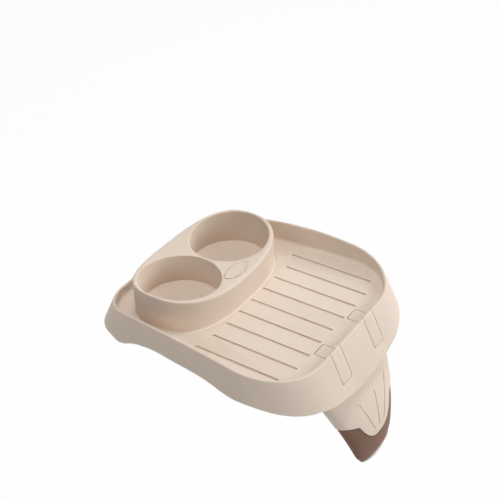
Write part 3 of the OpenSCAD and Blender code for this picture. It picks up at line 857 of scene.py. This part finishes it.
def makeScrews():                           # one screw with a driver cross, copied to its four seats
    fixing, (x, z) = screwForm, screwForm["spots"][0]
    y, headR, headH = screwSeatY(z), fixing["headR"], fixing["headH"]
    screw = rod("legScrews", (x, y, z), (0, 1, 0), headR, headH, fixing["sides"])
    startEdit(screw)
    low, top = spot(0, y, 0).y, spot(0, y + headH, 0).y
    pick("edges", lambda e: all(meets(v.co.y, top) for v in e.verts))
    bpy.ops.mesh.bevel(offset=fixing["headEdge"] * mm, segments=4)
    pick("faces", lambda q: all(meets(v.co.y, low) for v in q.verts))
    bpy.ops.mesh.inset(thickness=(headR - fixing["shankR"]) * mm)
    bpy.ops.mesh.extrude_region_move(TRANSFORM_OT_translate={"value": (0, -fixing["shankLen"] * mm, 0)})
    bpy.ops.transform.resize(value=(fixing["point"], 1, fixing["point"]), center_override=spot(x, y, z))
    endEdit()
    w, r = fixing["crossW"] / 2, headR * fixing["crossShare"]
    y0, y1 = y + headH - fixing["crossD"], y + headH + fixing["crossD"]
    cross = block("cross", (x - w, y0, z - r), (x + w, y1, z + r))
    combine(cross, block("bar", (x - r, y0, z - w), (x + r, y1, z + w)), "UNION")
    combine(screw, cross, "DIFFERENCE")
    others = []
    for toX, toZ in fixing["spots"][1:]:
        others.append(twin(screw, "screw"))
        bpy.ops.transform.translate(value=(Vector((toX - x, screwSeatY(toZ) - y, toZ - z)) * mm))
        bpy.ops.object.transform_apply()
    return weld(screw, *others)


# the finishes and the pieces, made one after another

look = mouldedPlastic
beigeSet, brownSet = ("beige", "beigeShade", "beigeEdge"), ("brown", "brownShade", "brownEdge")
# the tray's finish carries the painted highlight line along the collar's foot
trayPlastic = mouldedFinish("trayPlastic", beigeSet, look["roughness"], look["sheen"], seed=3, highlighted=True)
framePlastic = mouldedFinish("framePlastic", beigeSet, look["roughness"], look["sheen"], seed=31)
coverPlastic = mouldedFinish("coverPlastic", beigeSet, look["roughness"], look["sheen"], seed=57)
gripPlastic = mouldedFinish("gripPlastic", brownSet, look["brownRoughness"], look["brownSheen"], seed=83)
zincPlate = screwFinish()
for nodeName, material in (("tray", trayPlastic), ("leg_frame", framePlastic), ("leg_cover", coverPlastic),
                           ("leg_grip", gripPlastic), ("leg_screws", zincPlate)):
    nodes[nodeName].data.materials.clear()
    nodes[nodeName].data.materials.append(material)
print("materials ready")

shell = makeShell()
armSkin = twin(shell, "armSkin")
handOver(makeTray(shell), trayPlastic, "tray_plastic", "tray")
handOver(makeFrame(makeArms(armSkin)), framePlastic, "frame_plastic", "leg_frame")
handOver(makeCover(), coverPlastic, "cover_plastic", "leg_cover")
handOver(makeGrip(), gripPlastic, "grip_plastic", "leg_grip")
handOver(makeScrews(), zincPlate, "screw_steel", "leg_screws")


# stage: a pale floor well below the tray, soft lamps, and the camera

stage = {
    "floorZ": -0.42, "floorSize": 12.0, "floorCloud": 0.01, "shadowShare": 0.05, "ambient": 0.18,
    "floorColour": srgb(246, 246, 246), "floorShade": srgb(243, 243, 243),
    "lamps": {"top": ((0, 0, 2.2), 0.6, 20.0), "front": ((0.2, -2.0, 0.7), 1.0, 9.0),    # place, size, power
              "corner": ((1.5, -1.4, 0.7), 1.0, 20.0), "right": ((2.0, 0.2, 1.0), 1.0, 9.7),
              "left": ((-2.0, 0.3, 1.0), 1.0, 6.5), "behind": ((1.0, 1.4, 1.4), 1.0, 3.6)},
}
view = {                                    # metres and degrees, the lens and sensor in mm
    "place": (-0.5622, -0.3990, 0.5270), "azimuth": -54.80, "elevation": 34.48, "roll": -2.47,
    "lens": 72.04, "sensor": 36.0, "clip": 0.01,
}


def makeFloor():                            # the camera and shiny things see mostly plain white
    choose(frameRoot)
    bpy.ops.mesh.primitive_plane_add(size=stage["floorSize"], location=(0, 0, stage["floorZ"]))
    floor = bpy.context.object
    floor.name = "floor"
    bpy.ops.object.transform_apply(location=True)
    s = Sheet(bpy.data.materials.new("paleFloor"))
    cloud = s.noise(s.scaled(s.place(), stage["floorCloud"]))
    colour = s.blend(cloud, stage["floorColour"], stage["floorShade"])
    lit = s.node("BsdfDiffuse", {}, {"Color": colour})
    plain = s.node("Emission", {}, {"Color": white, "Strength": 1.0})
    amount = s.seen() * (1 - stage["shadowShare"])
    floor.data.materials.append(s.finish(s.node("MixShader", {}, {0: amount, 1: lit, 2: plain})))


def makeWorld():                            # white where it is seen, and a dim light elsewhere
    s = Sheet(bpy.data.worlds.new("studio"))
    strength = stage["ambient"] + s.seen() * (1 - stage["ambient"])
    back = s.node("Background", {}, {"Color": white, "Strength": strength})
    bpy.context.scene.world = s.finish(back, "OutputWorld")


def addLamp(name, at, size, power):
    data = bpy.data.lights.new(name, "AREA")
    data.shape, data.size, data.energy = "DISK", size, power
    lamp = bpy.data.objects.new(name, data)
    lamp.location = at
    lamp.rotation_euler = (-Vector(at)).to_track_quat("-Z", "Y").to_euler()
    bpy.context.scene.collection.objects.link(lamp)


def makeCamera():
    a, e, r = (radians(view[k]) for k in ("azimuth", "elevation", "roll"))
    back = Vector((sin(a) * cos(e), -cos(a) * cos(e), sin(e)))
    right = (-back).cross(Vector((0, 0, 1))).normalized()
    up = right.cross(-back)
    turned = (cos(r) * right + sin(r) * up, -sin(r) * right + cos(r) * up, back)
    camera = bpy.data.objects.new("camera", bpy.data.cameras.new("camera"))
    camera.matrix_world = Matrix.Translation(view["place"]) @ Matrix(turned).transposed().to_4x4()
    camera.data.lens, camera.data.sensor_width = view["lens"], view["sensor"]
    camera.data.clip_start = view["clip"]
    bpy.context.scene.collection.objects.link(camera)
    bpy.context.scene.camera = camera


makeFloor()
makeWorld()
for lampName, (lampAt, lampSize, lampPower) in stage["lamps"].items():
    addLamp(lampName, lampAt, lampSize, lampPower)
makeCamera()
bpy.context.scene.view_settings.view_transform = "Standard"
print("stage ready")
